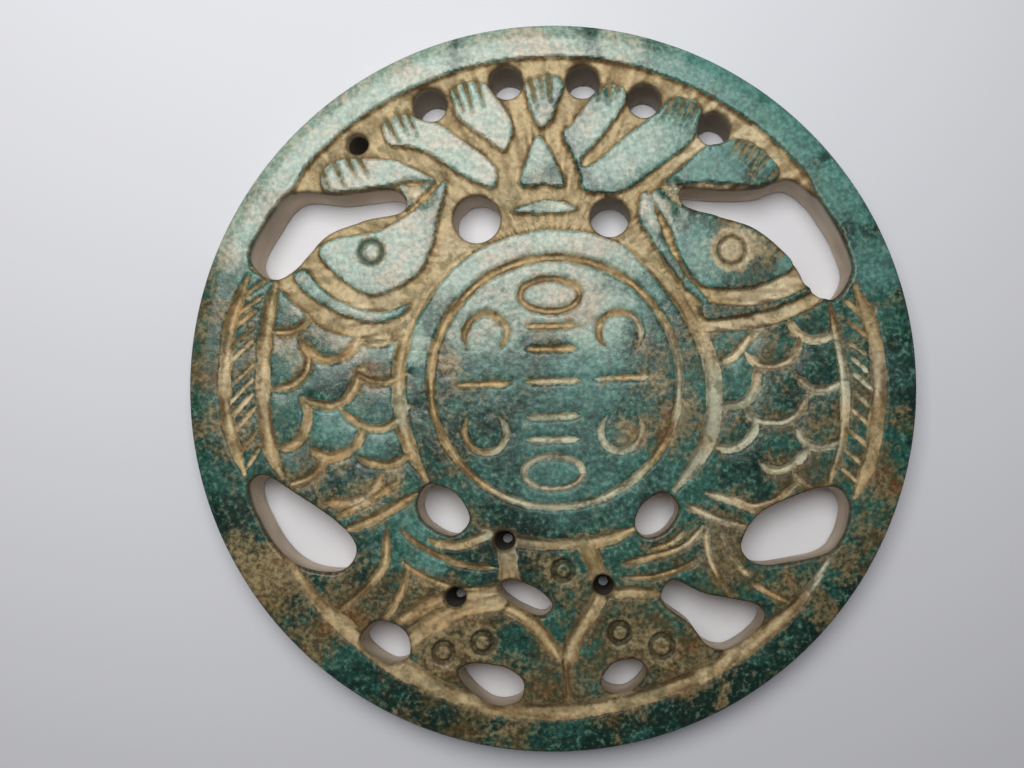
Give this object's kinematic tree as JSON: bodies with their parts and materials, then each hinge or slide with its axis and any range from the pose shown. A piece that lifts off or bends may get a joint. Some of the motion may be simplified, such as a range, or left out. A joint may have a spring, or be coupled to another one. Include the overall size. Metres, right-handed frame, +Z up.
{
  "type": "jade amulet pendant",
  "caption": "Round openwork amulet pendant of carved green jade, with two fish and a fan of petals around a ringed roundel.",
  "frame": {"origin": "centre of the flat underside, which the pendant lies on", "axes": "+Z up out of the carved face, +Y to the top of the design where the fan of petals is, +X to the right of somebody looking at the face"},
  "size_m": [0.07, 0.07, 0.006],
  "materials": {
    "jade": "worn polish over mottled green jade, with tan dirt in the cuts and brown staining"
  },
  "bodies": {
    "root": {"jade_pendant": "jade"}
  },
  "joints": []
}
